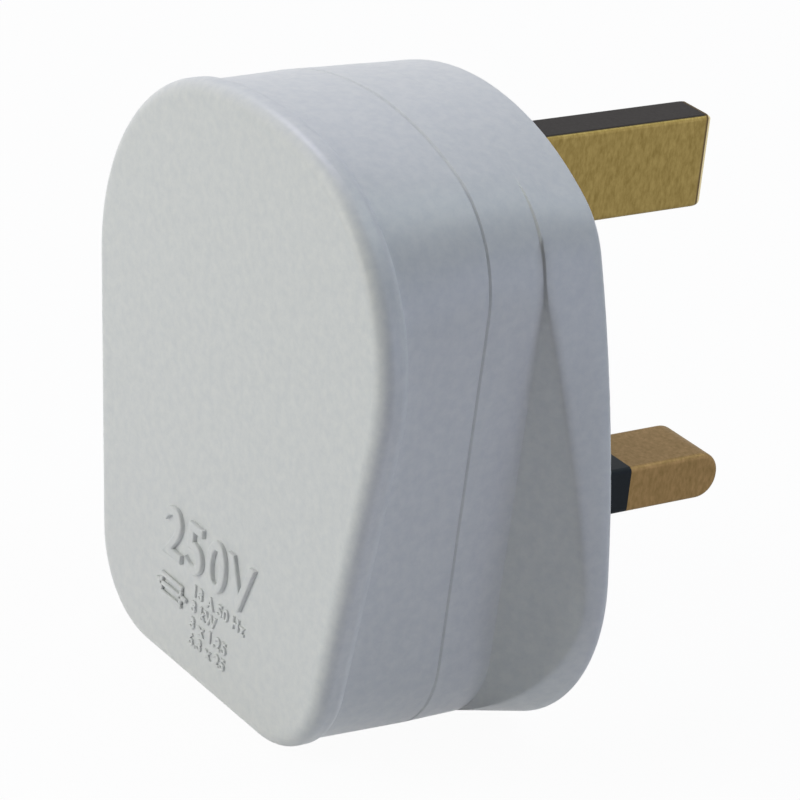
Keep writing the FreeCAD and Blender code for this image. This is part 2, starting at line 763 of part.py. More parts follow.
def pin_sleeve(label, across):
    """Insulating sleeve around the neck of a live pin, flush with the bare tip."""
    body = new_body(label)
    half_width = s.live_pin_width / 2
    half_thickness = s.live_pin_thickness / 2
    middle = (ZERO, ZERO)
    inner = (half_width - s.sleeve_wall, half_thickness - s.sleeve_wall)
    length = s.sleeve_root + s.sleeve_reach
    outer = rectangle(body, "outer", "XZ_Plane", s.sleeve_root, middle, (half_width, half_thickness))
    pad(body, outer, length, back=True)

    def long_edge(point):
        return near(abs(point.x), half_width) and near(abs(point.z), half_thickness)

    soften(body, "Fillet", "edge_round", long_edge, s.pin_edge_round)
    cut(body, rectangle(body, "bore", "XZ_Plane", s.sleeve_root, middle, inner), length)
    move(body, across, ZERO, ZERO)


def earth_pin():
    """Earth pin in one piece with its terminal block."""
    body = new_body("earth_pin")
    half_thickness = s.earth_pin_thickness / 2
    half_width = s.earth_pin_width / 2
    middle = (ZERO, ZERO)
    blade = rectangle(body, "blade", "XZ_Plane", s.plate, middle, (half_thickness, half_width))
    pad(body, blade, s.plate + s.earth_pin_reach, back=True)

    def tip_upright(point):
        return near(point.y, s.earth_pin_reach) and near(abs(point.x), half_thickness)

    def outer_edge(point):
        return near(abs(point.z), half_width) and point.y > -s.plate.number + TOLERANCE

    soften(body, "Fillet", "tip_round", tip_upright, s.earth_tip_round)
    soften(body, "Fillet", "edge_round", outer_edge, s.pin_edge_round)
    slant = s.earth_tip_chamfer * 2
    for name, level, inwards in (("upper", half_width, -slant), ("lower", -half_width, slant)):
        beyond = level - inwards / 2
        corners = [
            (s.earth_pin_reach - slant, beyond),
            (s.earth_pin_reach + s.earth_tip_chamfer, level + inwards),
            (s.earth_pin_reach + s.earth_tip_chamfer, beyond),
        ]
        bevel = polygon(body, f"{name}_bevel", "YZ_Plane", -half_thickness, corners)
        cut(body, bevel, s.earth_pin_thickness, along=True)
    half = (s.terminal_width / 2, s.earth_block_height / 2)
    pad(body, rectangle(body, "block", "XZ_Plane", s.plate, middle, half), s.terminal_depth)
    bottom = -s.earth_block_height / 2
    drill_terminal(body, "earth", middle, s.plate, s.terminal_depth, "XY_Plane", bottom, s.earth_block_height)
    move(body, ZERO, ZERO, s.earth_pin_rise)
    terminal_screw("earth_terminal_screw", ZERO, s.earth_pin_rise, s.plate, s.terminal_depth)


def clip_ring(body, name, low):
    """Open spring ring around a fuse cap, from its lower end."""
    middle = (s.live_pin_offset, -clip_axis)
    pad(body, circle(body, f"{name}_ring", "XY_Plane", low, middle, clip_radius), s.clip_length)


def clip_opening(body, name, low):
    """Bore and mouth of a spring ring, which opens towards the cover."""
    middle = (s.live_pin_offset, -clip_axis)
    cut(body, circle(body, f"{name}_bore", "XY_Plane", low, middle, clip_bore), s.clip_length, along=True)
    mouth_middle = (s.live_pin_offset, -clip_axis - clip_radius)
    mouth_half = (s.clip_mouth, clip_radius)
    mouth = rectangle(body, f"{name}_mouth", "XY_Plane", low, mouth_middle, mouth_half)
    cut(body, mouth, s.clip_length, along=True)


def line_pin_fuse_clip():
    """Spring clip on the head of the line pin, which holds the lower cap of the fuse."""
    body = new_body("line_pin_fuse_clip")
    low = lower_clip - s.clip_length / 2
    middle = (s.live_pin_offset, lower_clip)
    half = (s.strip_width / 2, s.clip_length / 2)
    pad(body, rectangle(body, "foot", "XZ_Plane", strip_seat, middle, half), s.clip_wall)
    clip_ring(body, "lower", low)
    clip_opening(body, "lower", low)


def line_terminal_fuse_clip():
    """Spring clip for the upper cap of the fuse, on a strip that runs under the line terminal."""
    body = new_body("line_terminal_fuse_clip")
    low = upper_clip - s.clip_length / 2
    high = line_block_top
    left = s.live_pin_offset - s.strip_width / 2
    right = line_block_offset + s.terminal_width / 2
    corners = [(left, low), (right, low), (right, high), (left, high)]
    pad(body, polygon(body, "strip", "XZ_Plane", strip_seat, corners), s.clip_wall)
    clip_ring(body, "upper", low)
    clip_opening(body, "upper", low)


def line_terminal():
    """Terminal block for the line conductor, on the strip of the upper fuse clip."""
    body = new_body("line_terminal")
    seat = strip_seat + s.clip_wall
    middle = (line_block_offset, line_block_middle)
    half = (s.terminal_width / 2, s.line_block_height / 2)
    pad(body, rectangle(body, "block", "XZ_Plane", seat, middle, half), s.line_block_depth)
    left = line_block_offset - s.terminal_width / 2
    drill_terminal(body, "line", middle, seat, s.line_block_depth, "YZ_Plane", left, s.terminal_width)
    terminal_screw("line_terminal_screw", line_block_offset, line_block_middle, seat, s.line_block_depth)


def fuse():
    """Cartridge fuse: ceramic tube, two drawn end caps and the wire between them."""
    cap_bore = s.fuse_radius - s.fuse_cap_wall
    tube_radius = cap_bore - s.fuse_fit
    tube_low = fuse_low + s.fuse_cap_wall
    tube_high = fuse_top - s.fuse_cap_wall

    def placed(body):
        move(body, s.live_pin_offset, -clip_axis, ZERO)

    tube = new_body("fuse_tube")
    section = [
        (s.fuse_bore_radius, tube_low),
        (tube_radius, tube_low),
        (tube_radius, tube_high),
        (s.fuse_bore_radius, tube_high),
    ]
    revolve(tube, polygon(tube, "tube_section", "XZ_Plane", ZERO, section))
    placed(tube)

    for label, closed, inner, opened in (
        ("fuse_lower_cap", fuse_low, tube_low, fuse_low + s.fuse_cap_length),
        ("fuse_upper_cap", fuse_top, tube_high, fuse_top - s.fuse_cap_length),
    ):
        cap = new_body(label)
        section = [
            (ZERO, closed),
            (s.fuse_radius, closed),
            (s.fuse_radius, opened),
            (cap_bore, opened),
            (cap_bore, inner),
            (ZERO, inner),
        ]
        revolve(cap, polygon(cap, f"{label}_section", "XZ_Plane", ZERO, section))
        placed(cap)

    wire = new_body("fuse_wire")
    section = [
        (ZERO, tube_low),
        (s.fuse_wire_radius, tube_low),
        (s.fuse_wire_radius, tube_high),
        (ZERO, tube_high),
    ]
    revolve(wire, polygon(wire, "wire_section", "XZ_Plane", ZERO, section))
    placed(wire)


def cover_fixing():
    """Cover screw, the washer that keeps it in the base, and the threaded insert in the cover."""
    seat = s.head_recess
    insert_low = column_end + s.washer_gap
    length = insert_low + s.insert_length - s.insert_margin - seat
    screw = slotted_screw(
        "cover_screw",
        (s.cover_screw_radius, length),
        (s.cover_head_radius, s.cover_head_height),
        (s.cover_slot_width, s.cover_slot_depth),
    )
    move(screw, ZERO, -seat, s.cover_screw_rise, HEAD_TO_PINS)
    bore = s.cover_screw_radius + s.thread_clearance
    middle = (ZERO, s.cover_screw_rise)
    for label, low, length, radius in (
        ("cover_screw_washer", boss_top, s.washer_thickness, s.washer_radius),
        ("cover_screw_insert", insert_low, s.insert_length, insert_radius),
    ):
        body = new_body(label)
        pad(body, circle(body, f"{label}_rim", "XZ_Plane", low, middle, radius), length)
        cut(body, circle(body, f"{label}_bore", "XZ_Plane", low, middle, bore), length, along=True)


def cord_grip():
    """Bar that clamps the cord, with two ridges under it, and its two screws."""
    body = new_body("cord_grip_bar")
    middle = (ZERO, grip_level)
    half_length = s.grip_screw_offset + grip_boss_radius
    half = (half_length, s.grip_height / 2)
    pad(body, rectangle(body, "bar", "XZ_Plane", grip_seat, middle, half), s.grip_thickness)
    tooth_half = (s.cord_entry_radius, s.grip_tooth / 2)
    for name, level in (
        ("upper_ridge", grip_level + s.grip_height / 4),
        ("lower_ridge", grip_level - s.grip_height / 4),
    ):
        ridge = rectangle(body, name, "XZ_Plane", grip_seat, (ZERO, level), tooth_half)
        pad(body, ridge, s.grip_tooth, back=True)
    for name, across in (("left", -s.grip_screw_offset), ("right", s.grip_screw_offset)):
        hole_middle = (across, grip_level)
        hole = circle(body, f"{name}_hole", "XZ_Plane", grip_seat, hole_middle, grip_hole_radius)
        cut(body, hole, s.grip_thickness, along=True)
        screw = slotted_screw(
            f"cord_grip_screw_{name}",
            (s.grip_screw_radius, s.grip_screw_length),
            (s.grip_head_radius, s.grip_head_height),
            (s.driver_slot_width, s.driver_slot_depth),
        )
        move(screw, across, -(grip_seat + s.grip_thickness), grip_level, HEAD_TO_COVER)


def cut_cord_entry(body):
    """Round opening for the cord through the foot, half in the base and half in the cover."""
    start = -(foot_drop + s.foot_lift)
    middle = (ZERO, -s.parting_depth)
    entry = circle(body, "cord_entry", "XY_Plane", start, middle, s.cord_entry_radius)
    cut(body, entry, s.cord_entry_length + s.foot_lift, along=True)


def base_housing():
    """Base: flared flange with the engagement plate, low walls, bosses, seats and barrier ribs."""
    body = new_body("base_housing")

    # The ramp spreads evenly from the neck, as far as the flange's own form lets it
    neck = outline(body, "neck", s.ramp_depth, NECK)
    loft(body, "ramp", neck, outline(body, "ramp_spread", ZERO, NECK.inset(-ramp_run)))
    form = doc.addObject("PartDesign::Body", "flange_form")
    form_front = outline(form, "form_front", s.ramp_depth, FLANGE_FRONT)
    loft(form, "form", form_front, outline(form, "form_rear", ZERO, FLANGE))
    flange = body.newObject("PartDesign::Boolean", "flange")
    flange.Type = "Common"
    flange.Group = [form]

    def rear_edge(point):
        return near(point.y, ZERO)

    soften(body, "Fillet", "flange_round", rear_edge, s.flange_edge_round)
    wall_start = outline(body, "wall_start", s.ramp_depth, NECK)
    wall_end = outline(body, "wall_end", s.parting_depth - s.joint_break, WALL)
    loft(body, "wall", wall_start, wall_end, outline(body, "joint", s.parting_depth, JOINT))

    # Slots for the three pins, then the space inside
    live_half = (
        s.live_pin_width / 2 + s.slot_clearance,
        s.live_pin_thickness / 2 + s.slot_clearance,
    )
    earth_half = (
        s.earth_pin_thickness / 2 + s.slot_clearance,
        s.earth_pin_width / 2 + s.slot_clearance,
    )
    for name, middle, half in (
        ("neutral_slot", (-s.live_pin_offset, ZERO), live_half),
        ("line_slot", (s.live_pin_offset, ZERO), live_half),
        ("earth_slot", (ZERO, s.earth_pin_rise), earth_half),
    ):
        cut(body, rectangle(body, name, "XZ_Plane", ZERO, middle, half), s.parting_depth, along=True)
    space = outline(body, "space", s.parting_depth, NECK.inset(s.shell))
    cut(body, space, s.parting_depth - s.plate)

    # Boss of the cover screw, with the recess for its head in the engagement face
    screw_middle = (ZERO, s.cover_screw_rise)
    boss = circle(body, "screw_boss", "XZ_Plane", s.plate, screw_middle, boss_radius)
    pad(body, boss, boss_top - s.plate)
    shank_radius = s.cover_screw_radius + s.shank_clearance
    shank = circle(body, "screw_shank", "XZ_Plane", ZERO, screw_middle, shank_radius)
    cut(body, shank, boss_top, along=True)
    head_radius = s.cover_head_radius + s.head_clearance
    recess = circle(body, "screw_recess", "XZ_Plane", ZERO, screw_middle, head_radius)
    cut(body, recess, s.head_recess, along=True)

    # Bosses of the cord grip
    for name, across in (("left_grip", -s.grip_screw_offset), ("right_grip", s.grip_screw_offset)):
        grip_middle = (across, grip_level)
        grip_boss = circle(body, f"{name}_boss", "XZ_Plane", s.plate, grip_middle, grip_boss_radius)
        pad(body, grip_boss, s.grip_boss_height)
        hole = circle(body, f"{name}_hole", "XZ_Plane", grip_seat, grip_middle, grip_hole_radius)
        cut(body, hole, s.grip_boss_height - s.grip_hole_bottom)

    # Seat of the line terminal's strip, and the barrier ribs beside the earth terminal
    seat_low = upper_clip - s.clip_length / 2
    seat_high = line_block_top
    seat_left = s.live_pin_offset - s.strip_width / 2
    seat_right = line_block_offset + s.terminal_width / 2
    seat = [(seat_left, seat_low), (seat_right, seat_low), (seat_right, seat_high), (seat_left, seat_high)]
    pad(body, polygon(body, "strip_seat", "XZ_Plane", s.plate, seat), s.pin_head)
    rib_half = (s.rib_thickness / 2, s.earth_block_height / 2)
    for name, across in (("left_rib", -rib_offset), ("right_rib", rib_offset)):
        rib = rectangle(body, name, "XZ_Plane", s.plate, (across, s.earth_pin_rise), rib_half)
        pad(body, rib, s.rib_height)
    cut_cord_entry(body)


def cover_housing():
    """Cover: front face with a rounded proud rim, side walls, inner lip and screw column."""
    body = new_body("cover_housing")
    rim_start = s.body_depth - rim_depth
    pad(body, outline(body, "rim", rim_start, RIM), rim_depth)

    def front_edge(point):
        return near(point.y, -s.body_depth)

    def back_edge(point):
        return near(point.y, -rim_start)

    soften(body, "Fillet", "rim_front", front_edge, s.rim_front_round)
    soften(body, "Fillet", "rim_back", back_edge, s.rim_back_round)
    wall_start = outline(body, "wall_start", s.parting_depth + s.joint_break, WALL)
    wall_end = outline(body, "wall_end", s.body_depth - s.rim_front_round, WALL_FRONT)
    loft(body, "wall", outline(body, "joint", s.parting_depth, JOINT), wall_start, wall_end)
    inner_depth = s.body_depth - s.face
    space_start = outline(body, "space_start", s.parting_depth, WALL.inset(s.shell))
    space_end = outline(body, "space_end", inner_depth, WALL_FRONT.inset(s.shell))
    loft(body, "space", space_start, space_end, kind="Subtractive")

    # Lip that locates the cover inside the base, on a shelf inside the wall
    lip_outer = NECK.inset(s.shell + s.lip_clearance)
    lip_inner = NECK.inset(lip_depth)
    lip_start = s.parting_depth - s.lip_height
    pad(body, outline(body, "lip_shelf", s.parting_depth, WALL.inset(s.shell / 2), lip_inner), s.lip_height)
    pad(body, outline(body, "lip", lip_start, lip_outer, lip_inner), s.lip_height * 2)

    # Column that holds the threaded insert for the cover screw
    middle = (ZERO, s.cover_screw_rise)
    column = circle(body, "column", "XZ_Plane", column_end, middle, insert_radius + s.boss_wall / 2)
    pad(body, column, inner_depth + s.face / 2 - column_end)
    pocket_radius = insert_radius + s.insert_fit
    pocket = circle(body, "insert_pocket", "XZ_Plane", column_end, middle, pocket_radius)
    cut(body, pocket, s.insert_length + s.washer_gap, along=True)
    cut_cord_entry(body)


def write_parts():
    """Check every object and write one file for each body."""
    doc.recompute()
    for item in doc.Objects:
        if any(state in ("Invalid", "Error") for state in item.State):
            raise RuntimeError(f"{item.Label} failed: {item.State}")
    for body in pieces:
        if body.Shape.isNull() or not body.Shape.isValid() or len(body.Shape.Solids) != 1:
            raise RuntimeError(f"{body.Label} is not one valid solid")
    os.makedirs("parts", exist_ok=True)
    for body in pieces:
        body.Shape.exportStep(os.path.join("parts", f"{body.Label}.step"))
        print(f"{body.Label}: {body.Shape.Volume:.1f} mm3")


base_housing()
cover_housing()
earth_pin()
neutral_pin()
line_pin()
pin_sleeve("neutral_pin_sleeve", -s.live_pin_offset)
pin_sleeve("line_pin_sleeve", s.live_pin_offset)
line_pin_fuse_clip()
line_terminal_fuse_clip()
line_terminal()
fuse()
cover_fixing()
cord_grip()
write_parts()
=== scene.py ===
"""Looks of a fused three pin plug: its finishes, its raised marking, the studio and the camera."""

import logging
import math
from dataclasses import dataclass
from enum import Enum
from typing import ClassVar, Iterable, Mapping, Optional, Tuple

import bpy
from mathutils import Matrix, Vector


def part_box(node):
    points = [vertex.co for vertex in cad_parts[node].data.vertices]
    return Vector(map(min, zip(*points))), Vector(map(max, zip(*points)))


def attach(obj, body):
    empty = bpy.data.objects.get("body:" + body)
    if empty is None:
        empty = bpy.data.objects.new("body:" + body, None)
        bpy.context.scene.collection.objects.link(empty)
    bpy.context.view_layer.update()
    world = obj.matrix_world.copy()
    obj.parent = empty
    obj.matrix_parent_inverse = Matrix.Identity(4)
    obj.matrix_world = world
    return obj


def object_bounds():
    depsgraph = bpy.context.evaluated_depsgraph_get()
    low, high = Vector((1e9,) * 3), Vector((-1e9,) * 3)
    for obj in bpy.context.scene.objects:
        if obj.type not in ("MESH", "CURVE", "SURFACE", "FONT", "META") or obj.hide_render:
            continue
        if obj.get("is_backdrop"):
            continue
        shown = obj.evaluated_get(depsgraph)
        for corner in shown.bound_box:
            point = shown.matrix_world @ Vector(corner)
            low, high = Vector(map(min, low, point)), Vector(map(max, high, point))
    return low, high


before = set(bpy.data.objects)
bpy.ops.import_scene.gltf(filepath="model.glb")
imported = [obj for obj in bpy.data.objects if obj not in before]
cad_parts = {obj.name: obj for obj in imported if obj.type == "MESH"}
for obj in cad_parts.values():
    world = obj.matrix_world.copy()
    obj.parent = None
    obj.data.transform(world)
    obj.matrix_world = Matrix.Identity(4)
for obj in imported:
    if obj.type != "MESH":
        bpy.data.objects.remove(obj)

log = logging.getLogger("plug")

MM = 0.001
BODY = "root"

# Sockets of Blender's mix node that hold its two colours and their blend
MIX_FIRST = 6
MIX_SECOND = 7
MIX_RESULT = 2
WHITE = "#ffffff"

Colour = Tuple[float, float, float, float]


def linear(code: str) -> Colour:
    """Turn an sRGB hex colour into linear light.

    Args:
        code: six hex digits after a hash sign.

    Returns:
        Red, green, blue and alpha for a shader socket.
    """
    channels = [int(code[start:start + 2], 16) / 255 for start in (1, 3, 5)]
    light = [c / 12.92 if c <= 0.04045 else ((c + 0.055) / 1.055) ** 2.4 for c in channels]
    return (*light, 1.0)


def per_metre(size_mm: float) -> float:
    """Texture scale at which one repeat is this many millimetres long."""
    return 1.0 / (size_mm * MM)


def add_node(
    tree: bpy.types.NodeTree,
    kind: str,
    settings: Optional[Mapping[str, object]] = None,
    inputs: Optional[Mapping[object, object]] = None,
) -> bpy.types.Node:
    """Add one node, with its settings and its inputs.

    Args:
        tree: node tree that gets the node.
        kind: Blender's name for the node type.
        settings: attributes of the node.
        inputs: values for its input sockets; another node's output socket is linked.

    Returns:
        The new node.
    """
    node = tree.nodes.new(kind)
    for name, value in (settings or {}).items():
        setattr(node, name, value)
    for name, value in (inputs or {}).items():
        socket = node.inputs[name]
        if isinstance(value, bpy.types.NodeSocket):
            tree.links.new(value, socket)
        else:
            socket.default_value = value
    return node


def mix_colours(
    tree: bpy.types.NodeTree, share: bpy.types.NodeSocket, first: object, second: object
) -> bpy.types.NodeSocket:
    """Blend two colours.

    Args:
        tree: node tree that gets the node.
        share: socket with the second colour's share.
        first: colour, or socket with a colour, where the share is 0.
        second: colour, or socket with a colour, where the share is 1.

    Returns:
        Socket with the blend.
    """
    mix = add_node(
        tree,
        "ShaderNodeMix",
        settings={"data_type": "RGBA"},
        inputs={0: share, MIX_FIRST: first, MIX_SECOND: second},
    )
    return mix.outputs[MIX_RESULT]


def noise(
    tree: bpy.types.NodeTree, place: bpy.types.NodeSocket, scale: float, detail: float, rough: float = 0.5
) -> bpy.types.NodeSocket:
    """Cloudy pattern.

    Args:
        tree: node tree that gets the node.
        place: socket with the coordinates.
        scale: repeats per unit of the coordinates.
        detail: how many finer layers it has.
        rough: how strong each finer layer is beside the one before.

    Returns:
        Socket with the pattern, about 0 to 1.
    """
    pattern = add_node(
        tree,
        "ShaderNodeTexNoise",
        inputs={"Vector": place, "Scale": scale, "Detail": detail, "Roughness": rough},
    )
    return pattern.outputs["Fac"]


def direction(azimuth_deg: float, elevation_deg: float) -> Vector:
    """Point from the plug along a bearing.

    Args:
        azimuth_deg: angle from the cover's front round to the side of the line pin.
        elevation_deg: angle above the level.

    Returns:
        A vector of length 1.
    """
    azimuth = math.radians(azimuth_deg)
    elevation = math.radians(elevation_deg)
    return Vector((
        math.sin(azimuth) * math.cos(elevation),
        -math.cos(azimuth) * math.cos(elevation),
        math.sin(elevation),
    ))


class FaceDarkening(Enum):
    """Which faces of a brass piece are drawn darker."""

    NONE = "none"
    NARROW_FACES = "narrow_faces"


@dataclass(frozen=True)
class Finish:
    """What a piece is made of, as the eye sees it."""

    name: str
    colour: str
    roughness: float

    def start(self) -> Tuple[bpy.types.Material, bpy.types.NodeTree, bpy.types.NodeSocket]:
        """Make an empty material.

        Returns:
            The material, its node tree and the socket with the piece's own coordinates in metres.
        """
        material = bpy.data.materials.new(self.name)
        material.use_nodes = True
        tree = material.node_tree
        tree.nodes.clear()
        place = add_node(tree, "ShaderNodeTexCoord")
        return material, tree, place.outputs["Object"]

    def end(self, tree: bpy.types.NodeTree, inputs: Mapping[object, object]) -> None:
        """Close the tree with the surface shader.

        Args:
            tree: the material's node tree.
            inputs: values or sockets for the shader's inputs.
        """
        shader = add_node(tree, "ShaderNodeBsdfPrincipled", inputs=inputs)
        add_node(tree, "ShaderNodeOutputMaterial", inputs={"Surface": shader.outputs["BSDF"]})

    def build(self) -> bpy.types.Material:
        """Make the material. Each kind of finish has its own way."""
        raise NotImplementedError


@dataclass(frozen=True)
class MouldedUrea(Finish):
    """White urea resin, pressed in a polished mould: satin, with a fine grain and a faint mottle."""

    shade: str = "#dbddde"
    grain_mm: float = 0.3
    grain_detail: float = 3.0
    grain_rough: float = 0.6
    grain_depth_mm: float = 0.006
    grain_strength: float = 0.5
    mottle_mm: float = 0.9
    mottle_detail: float = 5.0
    mottle_rough: float = 0.65
    mottle_range: Tuple[float, float] = (0.35, 0.65)
    gloss_swing: float = 0.06
    ior: float = 1.5
    # Crease by the finger flange: its rounding, and where this grows outwards, backwards and with height
    soft_edge_mm: float = 1.5
    soft_beyond_mm: Tuple[float, float] = (16.8, 17.4)
    soft_behind_mm: Tuple[float, float] = (-5.3, -4.3)
    soft_rise_mm: Tuple[float, float] = (9.0, 14.0)
    soft_shift_mm: float = 1.6
    soft_samples: int = 8

    @staticmethod
    def fade(
        tree: bpy.types.NodeTree,
        borders: Iterable[Tuple[bpy.types.NodeSocket, Tuple[float, float]]],
        full: float,
    ) -> bpy.types.NodeSocket:
        """Value that grows from nothing to its full size behind all of some borders.

        Args:
            tree: the material's node tree.
            borders: a coordinate, with the millimetres where the growth starts and ends, for each border.
            full: the value behind them all.

        Returns:
            Socket with the value.
        """
        value = full
        for coordinate, (start, end) in borders:
            value = add_node(
                tree,
                "ShaderNodeMapRange",
                settings={"interpolation_type": "SMOOTHSTEP"},
                inputs={"Value": coordinate, "From Min": start * MM, "From Max": end * MM, "To Max": value},
            ).outputs["Result"]
        return value

    def soft_normal(self, tree: bpy.types.NodeTree, place: bpy.types.NodeSocket) -> bpy.types.NodeSocket:
        """Round the crease between ramp and finger flange, and leave the other edges as they are.

        Args:
            tree: the material's node tree.
            place: socket with the piece's own coordinates.

        Returns:
            Socket with the rounded normal.
        """
        parts = add_node(tree, "ShaderNodeSeparateXYZ", inputs={"Vector": place})
        across = add_node(
            tree, "ShaderNodeMath", settings={"operation": "ABSOLUTE"}, inputs={0: parts.outputs["X"]}
        ).outputs["Value"]
        depth = parts.outputs["Y"]
        height = parts.outputs["Z"]
        # High up the wall's own edge is softened too
        shift = self.fade(tree, ((height, self.soft_rise_mm),), self.soft_shift_mm * MM)
        behind = add_node(tree, "ShaderNodeMath", inputs={0: depth, 1: shift}).outputs["Value"]
        borders = ((across, self.soft_beyond_mm), (behind, self.soft_behind_mm))
        radius = self.fade(tree, borders, self.soft_edge_mm * MM)
        bevel = add_node(
            tree, "ShaderNodeBevel", settings={"samples": self.soft_samples}, inputs={"Radius": radius}
        )
        return bevel.outputs["Normal"]

    def build(self) -> bpy.types.Material:
        """Make the material.

        Returns:
            A satin white with grain in the normal and mottle in the colour and gloss.
        """
        material, tree, place = self.start()
        # Real grain is a few hundredths of a millimetre, so it is drawn coarser here to show
        grain = noise(tree, place, per_metre(self.grain_mm), self.grain_detail, self.grain_rough)
        mottle = noise(tree, place, per_metre(self.mottle_mm), self.mottle_detail, self.mottle_rough)
        faint, strong = self.mottle_range
        spread = add_node(
            tree, "ShaderNodeMapRange", inputs={"Value": mottle, "From Min": faint, "From Max": strong}
        )
        colour = mix_colours(tree, spread.outputs["Result"], linear(self.shade), linear(self.colour))
        gloss = add_node(
            tree,
            "ShaderNodeMapRange",
            inputs={
                "Value": grain,
                "To Min": self.roughness - self.gloss_swing,
                "To Max": self.roughness + self.gloss_swing,
            },
        )
        bump = add_node(
            tree,
            "ShaderNodeBump",
            inputs={
                "Strength": self.grain_strength,
                "Distance": self.grain_depth_mm * MM,
                "Height": grain,
                "Normal": self.soft_normal(tree, place),
            },
        )
        self.end(
            tree,
            {
                "Base Color": colour,
                "Roughness": gloss.outputs["Result"],
                "IOR": self.ior,
                "Normal": bump.outputs["Normal"],
            },
        )
        return material


@dataclass(frozen=True)
class DrawnBrass(Finish):
    """Solid brass bar, drawn and cropped: dull satin with faint streaks, drawn darker on the faces that
    point up or down where asked, and banded across its tip, where a bright band is a painted highlight.
    """

    patch: str = "#8f7a45"
    face_darkening: FaceDarkening = FaceDarkening.NONE
    darkened_colour: str = "#2c2825"
    darkening_slope: Tuple[float, float] = (0.75, 0.95)
    darkened_specular: float = 0.1
    # Where each band across the tip starts along the pin, and its colour; a bright band is a painted
    # highlight on the cut tip
    tip_bands_and_highlight: Tuple[Tuple[float, str], ...] = ()
    band_blur_mm: float = 0.1
    streak_mm: Tuple[float, float, float] = (0.35, 0.35, 0.8)
    streak_detail: float = 4.0
    streak_rough: float = 0.6
    streak_range: Tuple[float, float] = (0.3, 0.7)
    streak_depth_mm: float = 0.012
    streak_strength: float = 0.4
    gloss_swing: float = 0.08
    specular: float = 0.5

    def build(self) -> bpy.types.Material:
        """Make the material.

        Returns:
            A rough metal whose colour and gloss vary in short upright streaks.
        """
        material, tree, place = self.start()
        stretched = add_node(
            tree,
            "ShaderNodeMapping",
            inputs={"Vector": place, "Scale": tuple(per_metre(size) for size in self.streak_mm)},
        )
        streaks = noise(tree, stretched.outputs["Vector"], 1.0, self.streak_detail, self.streak_rough)
        faint, strong = self.streak_range
        spread = add_node(
            tree, "ShaderNodeMapRange", inputs={"Value": streaks, "From Min": faint, "From Max": strong}
        )
        colour = mix_colours(tree, spread.outputs["Result"], linear(self.patch), linear(self.colour))
        metallic = 1.0
        specular = self.specular
        # Faces that point up or down can be drawn near black, fading in with the slope of the face
        if self.face_darkening is FaceDarkening.NARROW_FACES:
            facing = add_node(tree, "ShaderNodeNewGeometry")
            parts = add_node(tree, "ShaderNodeSeparateXYZ", inputs={"Vector": facing.outputs["Normal"]})
            upright = add_node(
                tree, "ShaderNodeMath", settings={"operation": "ABSOLUTE"}, inputs={0: parts.outputs["Z"]}
            )
            darken_start, darken_end = self.darkening_slope
            dark = add_node(
                tree,
                "ShaderNodeMapRange",
                settings={"interpolation_type": "SMOOTHSTEP"},
                inputs={"Value": upright.outputs["Value"], "From Min": darken_start, "From Max": darken_end},
            )
            colour = mix_colours(tree, dark.outputs["Result"], colour, linear(self.darkened_colour))
            # Where the faces are drawn dark they also lose the metal's mirror
            metallic = add_node(
                tree,
                "ShaderNodeMath",
                settings={"operation": "SUBTRACT"},
                inputs={0: 1.0, 1: dark.outputs["Result"]},
            ).outputs["Value"]
            specular = self.darkened_specular
        along = add_node(tree, "ShaderNodeSeparateXYZ", inputs={"Vector": place}).outputs["Y"]
        # Bands across the tip: a bright one is a painted highlight where the cut tip catches the light
        for start_mm, band_or_highlight_colour in self.tip_bands_and_highlight:
            full_mm = start_mm + self.band_blur_mm
            beyond = add_node(
                tree,
                "ShaderNodeMapRange",
                inputs={"Value": along, "From Min": start_mm * MM, "From Max": full_mm * MM},
            )
            colour = mix_colours(tree, beyond.outputs["Result"], colour, linear(band_or_highlight_colour))
        gloss = add_node(
            tree,
            "ShaderNodeMapRange",
            inputs={
                "Value": streaks,
                "To Min": self.roughness + self.gloss_swing,
                "To Max": self.roughness - self.gloss_swing,
            },
        )
        bump = add_node(
            tree,
            "ShaderNodeBump",
            inputs={
                "Strength": self.streak_strength,
                "Distance": self.streak_depth_mm * MM,
                "Height": streaks,
            },
        )
        self.end(
            tree,
            {
                "Base Color": colour,
                "Metallic": metallic,
                "Specular IOR Level": specular,
                "Roughness": gloss.outputs["Result"],
                "Normal": bump.outputs["Normal"],
            },
        )
        return material


@dataclass(frozen=True)
class Grained(Finish):
    """Any plain piece whose surface shows only a fine grain: nylon, fibre, ceramic or plated metal."""

    shade: str = "#808080"
    metallic: float = 0.0
    specular: float = 0.5
    grain_mm: float = 0.3
    grain_detail: float = 4.0
    grain_depth_mm: float = 0.008
    grain_strength: float = 0.4

    def build(self) -> bpy.types.Material:
        """Make the material.

        Returns:
            One colour that varies a little with the grain, which also shows in the normal.
        """
        material, tree, place = self.start()
        grain = noise(tree, place, per_metre(self.grain_mm), self.grain_detail)
        colour = mix_colours(tree, grain, linear(self.shade), linear(self.colour))
        bump = add_node(
            tree,
            "ShaderNodeBump",
            inputs={
                "Strength": self.grain_strength,
                "Distance": self.grain_depth_mm * MM,
                "Height": grain,
            },
        )
        self.end(
            tree,
            {
                "Base Color": colour,
                "Metallic": self.metallic,
                "Specular IOR Level": self.specular,
                "Roughness": self.roughness,
                "Normal": bump.outputs["Normal"],
            },
        )
        return material


# Satin white that goes slightly blue in the shade
WHITE_UREA = MouldedUrea("moulded_white_urea", "#e4e5e4", 0.42)
# Dull olive gold with a fine upright mottle; the narrow faces are drawn nearly black, and the cut tip has a
# dark band and then a painted highlight
EARTH_BRASS = DrawnBrass(
    "drawn_brass_dark_narrow_faces",
    "#9b8852",
    0.55,
    patch="#85723f",
    face_darkening=FaceDarkening.NARROW_FACES,
    tip_bands_and_highlight=((21.65, "#5f4d30"), (21.9, "#d6c79b")),
)
